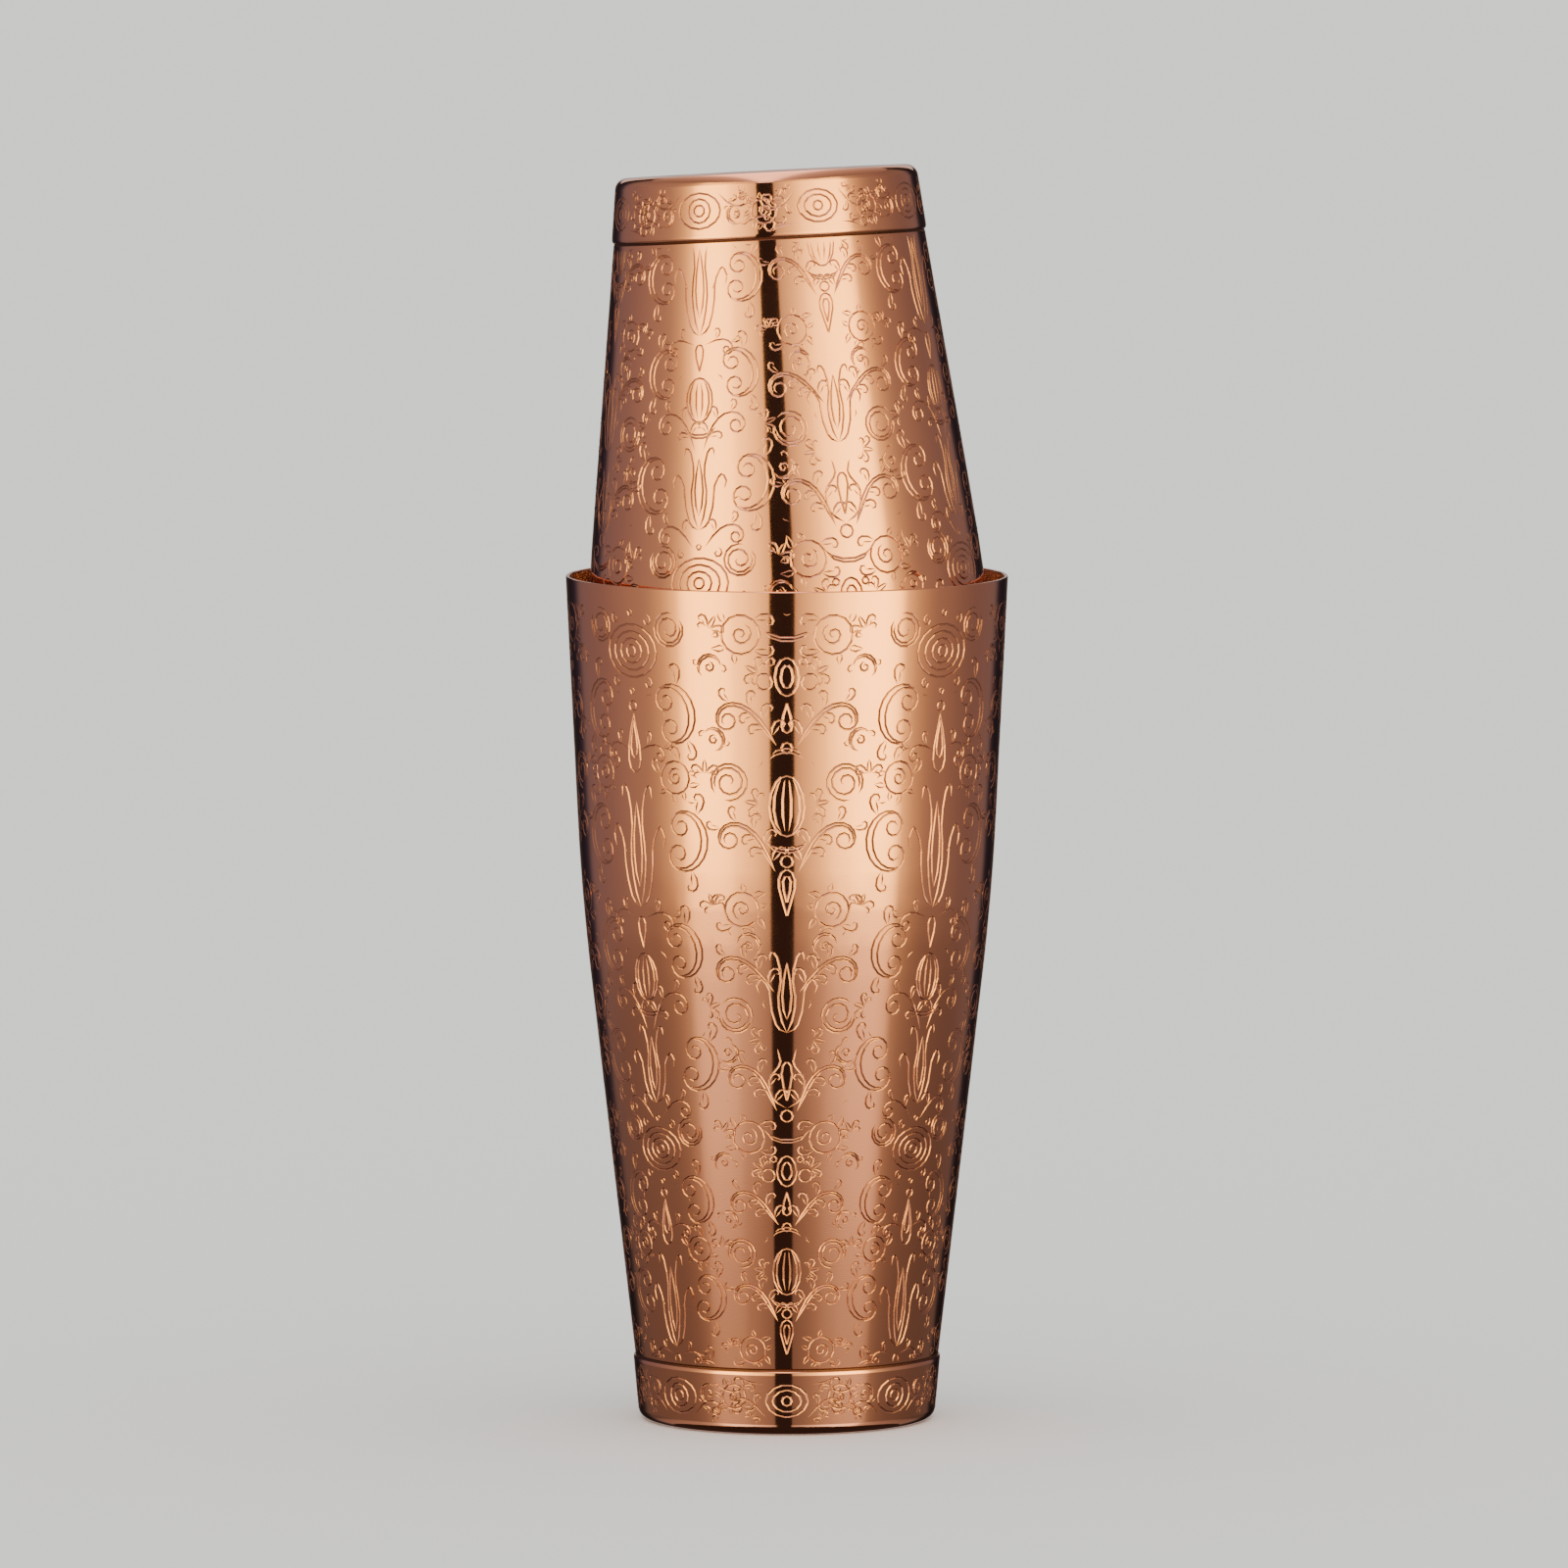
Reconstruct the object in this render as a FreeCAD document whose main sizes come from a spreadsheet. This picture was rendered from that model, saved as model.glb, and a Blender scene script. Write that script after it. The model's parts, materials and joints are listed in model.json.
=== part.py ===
"""Two-piece cocktail shaker: a large tin, with a smaller tin wedged upside down in its mouth.

Each tin is a drawn steel body with a flat floor, straight tapering walls that ease into a steeper
stretch, and a plain cut mouth. A shallow base cap is welded over the body's lower end. A steel weight
lies in the space between cap and floor, fixed to the cap with a layer of glue.

Sizes are in millimetres, +Z is up, and the origin is the centre of the face that the large tin stands
on. Every piece is drawn in its tin's own frame, with the standing face at height 0 and the mouth up.
"""
import FreeCAD, Part
import math
import os
import Sketcher

from FreeCAD import Placement, Rotation, Vector

PARTS_FOLDER = "parts"

# Driving dimensions: alias, value, meaning.
COMMON_SIZES = [
    ("wall", 0.8, "sheet thickness of a tin's body"),
    ("cap_wall", 0.4, "sheet thickness of a base cap"),
    ("cap_gap", 0.03, "gap between a body and the cap's open edge"),
    ("cap_height", 13.5, "open edge of a base cap above the standing face"),
    ("cap_corner", 2.5, "corner radius between a cap's side and its plate"),
    ("cap_edge_round", 0.18, "rounding of a cap's open edge"),
    ("mouth_round", 0.3, "rounding of the cut edges of a mouth"),
    ("floor_height", 5.4, "underside of a body's floor above the standing face"),
    ("floor_corner", 3.0, "corner radius between a body's side and its floor"),
    ("dish_depth", 0.6, "depth of the dish pressed into a cap's plate"),
    ("dish_radius", 21.0, "flat of the pressed dish"),
    ("dish_rise", 2.0, "width of the sloping rim of the dish"),
    ("glue_radius", 20.0, "glue layer under the weight"),
    ("glue_height", 0.3, "thickness of the glue layer"),
    ("weight_radius", 26.5, "steel weight"),
    ("weight_bevel", 0.6, "bevel of the weight's edges"),
]
LARGE_SIZES = [
    ("height", 177.0, "standing face to mouth"),
    ("mouth_radius", 46.2, "outer radius at the mouth"),
    ("seam_radius", 31.78, "outer radius of the body at the cap's open edge"),
    ("foot_radius", 30.97, "outer radius of the cap's side, carried down to the standing face"),
    ("lower_taper", 6.56, "slope of the lower wall from the axis, in degrees"),
    ("upper_taper", 2.81, "slope of the upper wall from the axis, in degrees"),
    ("blend_radius", 450.0, "long curve that joins the two slopes"),
]
SMALL_SIZES = [
    ("height", 114.0, "standing face to mouth"),
    ("mouth_radius", 42.4, "outer radius at the mouth"),
    ("seam_radius", 32.5, "outer radius of the body at the cap's open edge"),
    ("foot_radius", 31.4, "outer radius of the cap's side, carried down to the standing face"),
    ("lower_taper", 7.09, "slope of the lower wall from the axis, in degrees"),
    ("upper_taper", 1.72, "slope of the upper wall from the axis, in degrees"),
    ("blend_radius", 280.0, "long curve that joins the two slopes"),
]
NESTING_SIZES = [
    ("showing", 84.3, "length of the small tin above the large mouth, along its own axis"),
    ("shift_side", -0.1, "small tin's axis off the centre of the large mouth, along +X"),
    ("shift_back", 1.2, "small tin's axis off the centre of the large mouth, along +Y"),
    ("lean_side", 2.9, "lean of the small tin towards -X, in degrees"),
    ("lean_back", 2.5, "lean of the small tin towards +Y, in degrees"),
]


def add_sheet(doc):
    """The spreadsheet of driving dimensions, one row each: meaning, value."""
    rows = list(COMMON_SIZES)
    for tin, sizes in (("large", LARGE_SIZES), ("small", SMALL_SIZES), ("nested", NESTING_SIZES)):
        rows += [(f"{tin}_{alias}", value, f"{tin}: {meaning}") for alias, value, meaning in sizes]
    sheet = doc.addObject("Spreadsheet::Sheet", "Sizes")
    for row, (alias, value, meaning) in enumerate(rows, start=1):
        sheet.set(f"A{row}", meaning)
        sheet.set(f"B{row}", str(value))
        sheet.setAlias(f"B{row}", alias)
    doc.recompute()
    return sheet


def origin_plane(body, role):
    return next(f for f in body.Origin.OriginFeatures if f.Role == role)


def add_body(doc, label):
    body = doc.addObject("PartDesign::Body", label)
    body.Label = label
    return body


def add_half_section(body):
    """An empty sketch on the body's XZ plane: its X is the radius and its Y the height."""
    sketch = body.newObject("Sketcher::SketchObject", body.Label + "_half_section")
    sketch.AttachmentSupport = [(origin_plane(body, "XZ_Plane"), "")]
    sketch.MapMode = "FlatFace"
    return sketch


def bind(sketch, kind, references, value, expression):
    """A dimension of the sketch that follows cells of the spreadsheet."""
    index = sketch.addConstraint(Sketcher.Constraint(kind, *references, value))
    sketch.setExpression(f"Constraints[{index}]", expression)


def bind_point(sketch, geometry, end, radius, height):
    """Holds a point at (radius, height). Each is a pair of value and expression, or None on the axis."""
    if radius is None:
        sketch.addConstraint(Sketcher.Constraint("PointOnObject", geometry, end, -2))
    else:
        bind(sketch, "DistanceX", (-1, 1, geometry, end), *radius)
    if height is None:
        sketch.addConstraint(Sketcher.Constraint("PointOnObject", geometry, end, -1))
    else:
        bind(sketch, "DistanceY", (-1, 1, geometry, end), *height)


def add_loop(sketch, points):
    """Lines from point to point and back to the first one. The sketch must be empty."""
    corners = [Vector(*point, 0) for point in points]
    for start, end in zip(corners, corners[1:] + corners[:1]):
        sketch.addGeometry(Part.LineSegment(start, end), False)
    for line in range(len(corners)):
        following = (line + 1) % len(corners)
        sketch.addConstraint(Sketcher.Constraint("Coincident", line, 2, following, 1))


def add_revolution(body, sketch):
    turned = body.newObject("PartDesign::Revolution", body.Label + "_revolution")
    turned.Profile = sketch
    turned.ReferenceAxis = (sketch, ["V_Axis"])
    turned.Angle = 360.0
    body.Document.recompute()
    return turned


def add_dress_up(body, kind, base, elements, size, cell):
    """A fillet, chamfer or hollowing of some edges or faces of the body's last feature."""
    feature = body.newObject(f"PartDesign::{kind}", f"{body.Label}_{kind.lower()}")
    feature.Base = (base, elements)
    feature.setExpression(size, f"Sizes.{cell}")
    if kind == "Thickness":
        feature.Reversed = True
    body.Document.recompute()
    return feature


def circles_at(feature, height, widest=False):
    """Names of the circular edges at this height above the standing face, or of the widest one alone."""
    found = []
    for number, edge in enumerate(feature.Shape.Edges, start=1):
        if isinstance(edge.Curve, Part.Circle) and abs(edge.Curve.Center.z - height) < 1e-4:
            found.append((edge.Curve.Radius, f"Edge{number}"))
    found.sort()
    return [name for _, name in (found[-1:] if widest else found)]


def top_face(feature):
    faces = enumerate(feature.Shape.Faces, start=1)
    number, _ = max(faces, key=lambda item: item[1].CenterOfMass.z)
    return f"Face{number}"


def wall_curve(seam, mouth, lower_taper, upper_taper, blend_radius):
    """Start, middle and end of the arc that joins the walls' two slopes.

    The lower wall passes through seam and the upper wall through mouth, both (radius, height).
    """
    lower = math.radians(lower_taper)
    upper = math.radians(upper_taper)
    rise = mouth[1] - seam[1]
    widening = mouth[0] - seam[0]
    lower_rise = (widening - rise * math.tan(upper)) / (math.tan(lower) - math.tan(upper))
    corner = Vector(seam[0] + lower_rise * math.tan(lower), seam[1] + lower_rise, 0)
    lower_way = Vector(math.sin(lower), math.cos(lower), 0)
    upper_way = Vector(math.sin(upper), math.cos(upper), 0)
    half_turn = (lower - upper) / 2
    reach = blend_radius * math.tan(half_turn)
    inward = (upper_way - lower_way).normalize()
    middle = corner + inward * blend_radius * (1 / math.cos(half_turn) - 1)
    return corner - lower_way * reach, middle, corner + upper_way * reach


def make_tin_body(doc, sizes, tin):
    """The drawn body: turned solid, rounded floor corner, hollowed from the mouth, softened cut edges."""
    body = add_body(doc, f"{tin}_tin_body")
    sketch = add_half_section(body)

    def cell(name):
        return getattr(sizes, f"{tin}_{name}")

    floor = sizes.floor_height
    seam = (cell("seam_radius"), sizes.cap_height)
    mouth = (cell("mouth_radius"), cell("height"))
    lower_taper = cell("lower_taper")
    upper_taper = cell("upper_taper")
    start, middle, end = wall_curve(seam, mouth, lower_taper, upper_taper, cell("blend_radius"))
    floor_radius = seam[0] - (seam[1] - floor) * math.tan(math.radians(lower_taper))
    corners = [
        Vector(0, floor, 0),
        Vector(floor_radius, floor, 0),
        start,
        end,
        Vector(*mouth, 0),
        Vector(0, mouth[1], 0),
    ]
    bottom_line, lower_wall, blend, upper_wall, mouth_line, axis_line = range(6)
    for number, (first, second) in enumerate(zip(corners, corners[1:] + corners[:1])):
        segment = Part.Arc(start, middle, end) if number == blend else Part.LineSegment(first, second)
        sketch.addGeometry(segment, False)
    seam_point = sketch.addGeometry(Part.Point(Vector(*seam, 0)), True)
    # An arc runs counter-clockwise, so the blend's second point is where it meets the lower wall or the
    # upper one, depending on the side its centre lies.
    blend_low = 1 if sketch.getPoint(blend, 1).distanceToPoint(start) < 1e-6 else 2
    blend_high = 3 - blend_low
    sketch.addConstraint(
        [
            Sketcher.Constraint("Coincident", bottom_line, 2, lower_wall, 1),
            Sketcher.Constraint("Tangent", lower_wall, 2, blend, blend_low),
            Sketcher.Constraint("Tangent", blend, blend_high, upper_wall, 1),
            Sketcher.Constraint("Coincident", upper_wall, 2, mouth_line, 1),
            Sketcher.Constraint("Coincident", mouth_line, 2, axis_line, 1),
            Sketcher.Constraint("Coincident", axis_line, 2, bottom_line, 1),
            Sketcher.Constraint("Horizontal", bottom_line),
            Sketcher.Constraint("Horizontal", mouth_line),
            Sketcher.Constraint("PointOnObject", mouth_line, 2, -2),
            Sketcher.Constraint("PointOnObject", seam_point, 1, lower_wall),
        ]
    )
    bind_point(sketch, bottom_line, 1, None, (floor, "Sizes.floor_height"))
    bind_point(
        sketch, seam_point, 1,
        (seam[0], f"Sizes.{tin}_seam_radius"), (seam[1], "Sizes.cap_height"),
    )
    bind_point(
        sketch, upper_wall, 2,
        (mouth[0], f"Sizes.{tin}_mouth_radius"), (mouth[1], f"Sizes.{tin}_height"),
    )
    for wall, name, taper in (
        (lower_wall, "lower_taper", lower_taper),
        (upper_wall, "upper_taper", upper_taper),
    ):
        # The angle is taken from the H axis round to the wall.
        bind(
            sketch, "Angle", (-1, 1, wall, 1),
            math.radians(90 - taper), f"90 deg - Sizes.{tin}_{name} * 1 deg",
        )
    bind(sketch, "Radius", (blend,), cell("blend_radius"), f"Sizes.{tin}_blend_radius")
    solid = add_revolution(body, sketch)
    rounded = add_dress_up(
        body, "Fillet", solid, circles_at(solid, floor), "Radius", "floor_corner"
    )
    hollow = add_dress_up(body, "Thickness", rounded, [top_face(rounded)], "Value", "wall")
    add_dress_up(body, "Fillet", hollow, circles_at(hollow, mouth[1]), "Radius", "mouth_round")
    return body


def make_base_cap(doc, sizes, tin):
    """The pressed cap: straight side, rounded corner, and a shallow dish in its plate."""
    body = add_body(doc, f"{tin}_tin_base_cap")
    sketch = add_half_section(body)
    foot_radius = getattr(sizes, f"{tin}_foot_radius")
    edge_radius = getattr(sizes, f"{tin}_seam_radius") + sizes.cap_gap + sizes.cap_wall
    dish = (sizes.dish_depth, "Sizes.dish_depth")
    edge = (sizes.cap_height, "Sizes.cap_height")
    outline = [
        (None, dish),
        ((sizes.dish_radius, "Sizes.dish_radius"), dish),
        ((sizes.dish_radius + sizes.dish_rise, "Sizes.dish_radius + Sizes.dish_rise"), None),
        ((foot_radius, f"Sizes.{tin}_foot_radius"), None),
        ((edge_radius, f"Sizes.{tin}_seam_radius + Sizes.cap_gap + Sizes.cap_wall"), edge),
        (None, edge),
    ]
    add_loop(sketch, [[side[0] if side else 0.0 for side in point] for point in outline])
    for line, point in enumerate(outline):
        bind_point(sketch, line, 1, *point)
    solid = add_revolution(body, sketch)
    corner = circles_at(solid, 0.0, widest=True)
    rounded = add_dress_up(body, "Fillet", solid, corner, "Radius", "cap_corner")
    hollow = add_dress_up(body, "Thickness", rounded, [top_face(rounded)], "Value", "cap_wall")
    cut_edge = circles_at(hollow, sizes.cap_height, widest=True)
    add_dress_up(body, "Fillet", hollow, cut_edge, "Radius", "cap_edge_round")
    return body


def make_glue(doc, sizes, tin):
    """The thin layer between the cap's dish and the weight."""
    glue = doc.addObject("Part::Cylinder", f"{tin}_tin_glue_layer")
    glue.Label = f"{tin}_tin_glue_layer"
    glue.setExpression("Radius", "Sizes.glue_radius")
    glue.setExpression("Height", "Sizes.glue_height")
    return glue


def make_weight(doc, sizes, tin):
    """The steel disc that fills the space from the glue to the body's floor."""
    body = add_body(doc, f"{tin}_tin_weight")
    sketch = add_half_section(body)
    low = sizes.dish_depth + sizes.cap_wall + sizes.glue_height
    low_side = (low, "Sizes.dish_depth + Sizes.cap_wall + Sizes.glue_height")
    high_side = (sizes.floor_height, "Sizes.floor_height")
    rim = (sizes.weight_radius, "Sizes.weight_radius")
    outline = [(None, low_side), (rim, low_side), (rim, high_side), (None, high_side)]
    add_loop(sketch, [[side[0] if side else 0.0 for side in point] for point in outline])
    for line, point in enumerate(outline):
        bind_point(sketch, line, 1, *point)
    solid = add_revolution(body, sketch)
    edges = circles_at(solid, low) + circles_at(solid, sizes.floor_height)
    add_dress_up(body, "Chamfer", solid, edges, "Size", "weight_bevel")
    return body


def make_tin(doc, sizes, tin, placement):
    glue = make_glue(doc, sizes, tin)
    others = [make(doc, sizes, tin) for make in (make_tin_body, make_base_cap, make_weight)]
    for piece in others:
        piece.Placement = placement
    glue_lift = Vector(0, 0, sizes.dish_depth + sizes.cap_wall)
    glue.Placement = placement.multiply(Placement(glue_lift, Rotation()))
    return [glue] + others


def nested_placement(sizes):
    """The small tin's frame: upside down, leaning, with its base above the large mouth."""
    side = math.sin(math.radians(sizes.nested_lean_side))
    back = math.sin(math.radians(sizes.nested_lean_back))
    way_to_base = Vector(-side, back, math.sqrt(1 - side * side - back * back))
    crossing = Vector(sizes.nested_shift_side, sizes.nested_shift_back, sizes.large_height)
    upside_down = Rotation(Vector(1, 0, 0), 180)
    lean = Rotation(Vector(0, 0, 1), way_to_base)
    return Placement(crossing + way_to_base * sizes.nested_showing, lean.multiply(upside_down))


def check_document(doc):
    failed = [o.Label for o in doc.Objects if "Invalid" in o.State or "Error" in o.State]
    if failed:
        raise RuntimeError(f"objects that failed to compute: {failed}")


def export(pieces):
    for piece in pieces:
        if piece.Shape.isNull() or not piece.Shape.isValid() or len(piece.Shape.Solids) != 1:
            raise RuntimeError(f"{piece.Label} is not one valid solid")
    os.makedirs(PARTS_FOLDER, exist_ok=True)
    for piece in pieces:
        piece.Shape.exportStep(f"{PARTS_FOLDER}/{piece.Label}.step")


def main():
    doc = FreeCAD.newDocument("cocktail_shaker")
    sizes = add_sheet(doc)
    pieces = make_tin(doc, sizes, "large", Placement())
    pieces += make_tin(doc, sizes, "small", nested_placement(sizes))
    doc.recompute()
    check_document(doc)
    export(pieces)


main()
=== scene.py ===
"""Looks of the two-piece cocktail shaker: engraved copper-plated tins on a pale studio floor.

Each tin's body and base cap is rebuilt over its CAD profile as a turned shell whose outer wall carries
engraved lines. The lines are real V-shaped grooves. They are drawn on a flat half cell of the pattern,
triangulated there, wrapped round the wall, and repeated as mirror images. Lengths of the tins and of
the pattern are in millimetres, those of the studio in metres.
"""
import json
import math

import bpy
import numpy as np
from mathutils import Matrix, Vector
from mathutils.geometry import delaunay_2d_cdt
from mathutils.kdtree import KDTree


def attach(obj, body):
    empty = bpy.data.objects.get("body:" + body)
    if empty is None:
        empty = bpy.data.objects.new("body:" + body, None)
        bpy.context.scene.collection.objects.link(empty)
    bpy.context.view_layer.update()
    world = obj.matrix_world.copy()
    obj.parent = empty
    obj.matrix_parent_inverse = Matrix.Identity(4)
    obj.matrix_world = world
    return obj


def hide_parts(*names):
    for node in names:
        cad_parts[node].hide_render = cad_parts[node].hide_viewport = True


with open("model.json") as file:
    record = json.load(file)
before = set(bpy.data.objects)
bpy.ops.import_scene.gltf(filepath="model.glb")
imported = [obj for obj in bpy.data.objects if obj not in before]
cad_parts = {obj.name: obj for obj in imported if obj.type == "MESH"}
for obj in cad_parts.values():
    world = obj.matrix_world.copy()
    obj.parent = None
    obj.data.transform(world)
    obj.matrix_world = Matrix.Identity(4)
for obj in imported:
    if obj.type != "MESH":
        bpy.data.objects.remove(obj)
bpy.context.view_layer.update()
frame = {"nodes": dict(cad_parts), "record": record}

MM = 0.001
TAU = 2 * math.pi

# Tins, in millimetres.
WALL = 0.8
CAP_WALL = 0.4
MOUTH_ROUND = 0.3
FLOOR_CORNER = 3.0
CAP_CORNER = 2.5
LIP_DEPTH = 0.28
LIP_HEIGHT = 0.8
SEAM_DEPTH = 0.16
SEAM_HALF_WIDTH = 0.3
DISH_DEPTH = 0.6
DISH_RADIUS = 21.0
DISH_RISE = 2.0
EDGE_STEPS = 6
INSIDE_STEPS = 21
SMOOTH_BEND = math.radians(32)

# Engraving, in millimetres. A sector is one half cell wide.
SECTORS = 8
SECTOR_COLUMNS = 15
WALL_LEVELS = 400
GROOVE_WIDTH = 0.46
GROOVE_DEPTH = 0.13
GROOVE_TAPER = 1.6
LEAST_DEPTH = 0.05 * GROOVE_DEPTH
ENGRAVED_DEPTH = 0.1 * GROOVE_DEPTH
LINE_STEP = 3.0
LINE_SHORTEST = 0.64
LINE_TURN = math.radians(42)
LINE_SAG = 0.065
GRID_STEP = 4.0
GRID_CLEARANCE = 0.7
SAMPLE_STEP = 0.08
TINY = 1e-6
SLIVER = 1e-7

# Bands of the bake layer. The edge shares its band with hidden wall in the same copper.
BODY_BANDS = {
    "inside": (0.0, 0.3), "below": (0.3, 0.4), "edge": (0.38, 0.4), "seam": (0.4, 0.41),
    "wall": (0.42, 1.0),
}
CAP_BANDS = {"inside": (0.0, 0.18), "below": (0.2, 0.5), "lip": (0.51, 0.54), "wall": (0.55, 1.0)}


# ---------------------------------------------------------------- engraving motifs
# A motif is a list of (points, closed). Points are complex numbers in millimetres: x + 1j * y.


def turned(points, degrees):
    return points * np.exp(1j * np.radians(degrees))


def placed(motif, at, turn=0.0, size=1.0, flip=False):
    """A motif moved to a point, after being mirrored left to right with flip, sized and turned."""
    return [
        (at + turned((-np.conj(points) if flip else points) * size, turn), closed)
        for points, closed in motif
    ]


def both_sides(motif):
    return motif + placed(motif, 0, flip=True)


def arc(radius, start, end, centre=0j):
    way = np.radians(np.linspace(start, end, 6 + int(abs(end - start) / 5)))
    return [(centre + radius * np.exp(1j * way), False)]


def oval(width, height, centre=0j):
    way = np.linspace(0, TAU, 72, endpoint=False)
    return [(centre + width / 2 * np.cos(way) + 0.5j * height * np.sin(way), True)]


def ring(radius, centre=0j):
    return oval(2 * radius, 2 * radius, centre)


def spiral(radius, turns, start=0.0, inner=0.16, hold=0.85):
    """Winds inwards, anticlockwise for positive turns. A larger hold keeps it wide for longer."""
    way = np.linspace(0, 1, int(40 * abs(turns)) + 8)
    reach = radius * (1 - (1 - inner) * way**hold)
    return [(reach * np.exp(1j * (math.radians(start) + TAU * turns * way)), False)]


def stem(*stops):
    """A smooth line through a few points (a Catmull-Rom curve)."""
    knots = np.array(stops, complex)
    knots = np.concatenate([[2 * knots[0] - knots[1]], knots, [2 * knots[-1] - knots[-2]]])
    way = np.linspace(0, 1, 14, endpoint=False)
    spans = [
        0.5 * (2 * b + (c - a) * way + (2 * a - 5 * b + 4 * c - d) * way**2
               + (3 * b - a - 3 * c + d) * way**3)
        for a, b, c, d in zip(knots, knots[1:], knots[2:], knots[3:])
    ]
    return [(np.concatenate(spans + [knots[-2:-1]]), False)]


def leaf(length, width, bend=0.0):
    """A pointed leaf that grows along +Y from 0 and curves towards +X by bend."""
    way = np.linspace(0, 1, 24)
    spine = 1j * length * way + bend * way**2
    half = width / 2 * np.sin(math.pi * way**0.8)
    return [(spine - half, False), (spine + half, False)]


def comma(length):
    """A leaf that rises from 0 along +Y and curls over towards +X at its tip."""
    back = stem(0, -0.08 + 0.45j, 0.04 + 0.86j, 0.34 + 1.0j, 0.58 + 0.84j, 0.5 + 0.6j, 0.34 + 0.68j)
    front = stem(0.06 + 0.02j, 0.2 + 0.3j, 0.25 + 0.56j, 0.34 + 0.68j)
    return placed(back + front, 0, size=length)


def drop(length, width):
    """Teardrop with its point at 0 and its round end at +Y."""
    way = np.linspace(0, TAU, 60, endpoint=False)
    side = np.sin(way) * np.sin(way / 2) ** 1.6
    return [(width / 2 * side + 0.5j * length * (1 - np.cos(way)), True)]


def along(line, heading, share, offset):
    """The point beside a line at a share of its length, and the line's bearing there in degrees."""
    k = int(share * (len(line) - 1))
    return line[k] + 1j * offset * np.exp(1j * heading[k]), math.degrees(heading[k])


def vine(length, bow, leaves=(), size=3.0, double=0.0, curl=560):
    """A stem that leaves 0 along +Y and winds up in a volute on its left, with comma leaves.

    bow is the turn in degrees that is spread along it, curl the turn that tightens towards its tip.
    leaves are shares of the length, negative on the outer side. double adds a parallel line.
    """
    way = np.linspace(0, 1, 181)
    heading = math.pi / 2 + np.radians(bow * way + curl * way**2.7)
    line = np.cumsum(np.exp(1j * heading)) * length / len(way)
    line -= line[0]
    motif = [(line, False)]
    if double:
        beside = 1j * np.exp(1j * heading) * double * np.minimum(1, 6 * way) * (1 - way**2)
        motif.append(((line + beside)[:120], False))
    for share in leaves:
        side = math.copysign(1, share)
        foot, bearing = along(line, heading, abs(share), side * 0.15)
        leaf_size = size * (1 - 0.35 * abs(share))
        motif += placed(comma(leaf_size), foot, bearing - 90 + side * 42, flip=side > 0)
    return motif


def volute(radius, turns=1.7):
    """A double line, nearly closed, whose inner line winds on into a hook."""
    return arc(radius, -60, 268) + spiral(radius * 0.82, turns, -48, 0.14, 2.0)


def medallion(radius, flames=6):
    """A spiral in a ring, with flames on its left side and two curls on its right."""
    motif = ring(radius) + spiral(radius * 0.62, -1.6, 70, 0.12)
    for k in range(flames):
        turn = 15 + 150 * k / (flames - 1)
        foot = turned(radius * 1.02j, turn)
        flame = leaf(radius * (0.75 if k % 2 else 0.5), radius * 0.32, radius * 0.22)
        motif += placed(flame, foot, turn - 12, flip=k % 2 == 0)
    for bearing, lean, flip in ((-40, -70, False), (-140, -110, True)):
        motif += placed(comma(radius * 0.95), turned(radius * 1.05j, bearing), lean, flip=flip)
    return motif


def scroll(length, thick=1.3):
    """A C-shaped line, open towards -X, that winds up in a volute at either end.

    Its middle is a crescent, and it carries two leaves on its back.
    """
    way = np.linspace(-1, 1, 241)
    heading = math.pi / 2 + np.radians(190 * way + 350 * way * np.abs(way) ** 2)
    line = np.cumsum(np.exp(1j * heading)) * length / len(way)
    line -= line[len(line) // 2]
    middle = np.abs(way) < 0.487
    swell = thick * (1 - (way[middle] / way[middle].max()) ** 2)
    motif = [(line, False), (line[middle] + 1j * np.exp(1j * heading[middle]) * swell, False)]
    for share, lean, flip in ((0.36, 206, False), (0.64, -26, True)):
        foot, bearing = along(line, heading, share, -0.15)
        motif += placed(comma(0.085 * length), foot, lean, flip=flip)
    return motif


def crescent(radius):
    """Two arcs that meet in points, round a spiral, with a comma at either end."""
    way = np.linspace(-115, 115, 40)
    outer = radius * np.exp(1j * np.radians(way))
    inner = outer * (1 - 0.22 * np.cos(np.radians(way * 0.78)) ** 2)
    motif = [(outer, False), (inner, False)] + spiral(0.42 * radius, 1.5, 20, 0.15, 1.4)
    motif += placed(comma(0.75 * radius), turned(radius, 100), 70, flip=True)
    return motif + placed(comma(0.62 * radius), turned(radius, -62), -110, flip=True)


def pod(width, height, ribs):
    """An oval with lines of longitude."""
    motif = oval(width, height)
    way = np.linspace(-1, 1, 20)
    for bulge in np.linspace(-0.5, 0.5, ribs) * width * (1 - 1 / ribs):
        motif.append((bulge * np.sqrt(1 - 0.8 * way**2) + 0.43j * height * way, False))
    return motif


def bowls(width, count, gap):
    """Nested shallow bowls, open side up, the widest on top."""
    way = np.radians(np.linspace(200, 340, 16))
    return [
        (width / 2 * (1 - 0.16 * k) * (np.cos(way) + 0.62j * np.sin(way)) - 1j * k * gap, False)
        for k in range(count)
    ]


def lily(height, spread):
    """A pointed bud between two pairs of petals that swell above a common foot and curl out at the top."""
    motif = placed(leaf(0.7 * height, 0.62 * spread), 0.16j * height)
    for petal in (
        (0, 0.36 + 0.16j, 0.58 + 0.42j, 0.40 + 0.70j, 0.66 + 0.93j, 1.06 + 0.98j, 1.16 + 0.88j),
        (0, 0.66 + 0.08j, 1.06 + 0.30j, 1.16 + 0.52j, 1.66 + 0.66j, 2.02 + 0.58j, 1.86 + 0.48j),
    ):
        petal = np.array(petal)
        motif += both_sides(stem(*(spread * petal.real + 1j * height * petal.imag)))
    return motif


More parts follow.
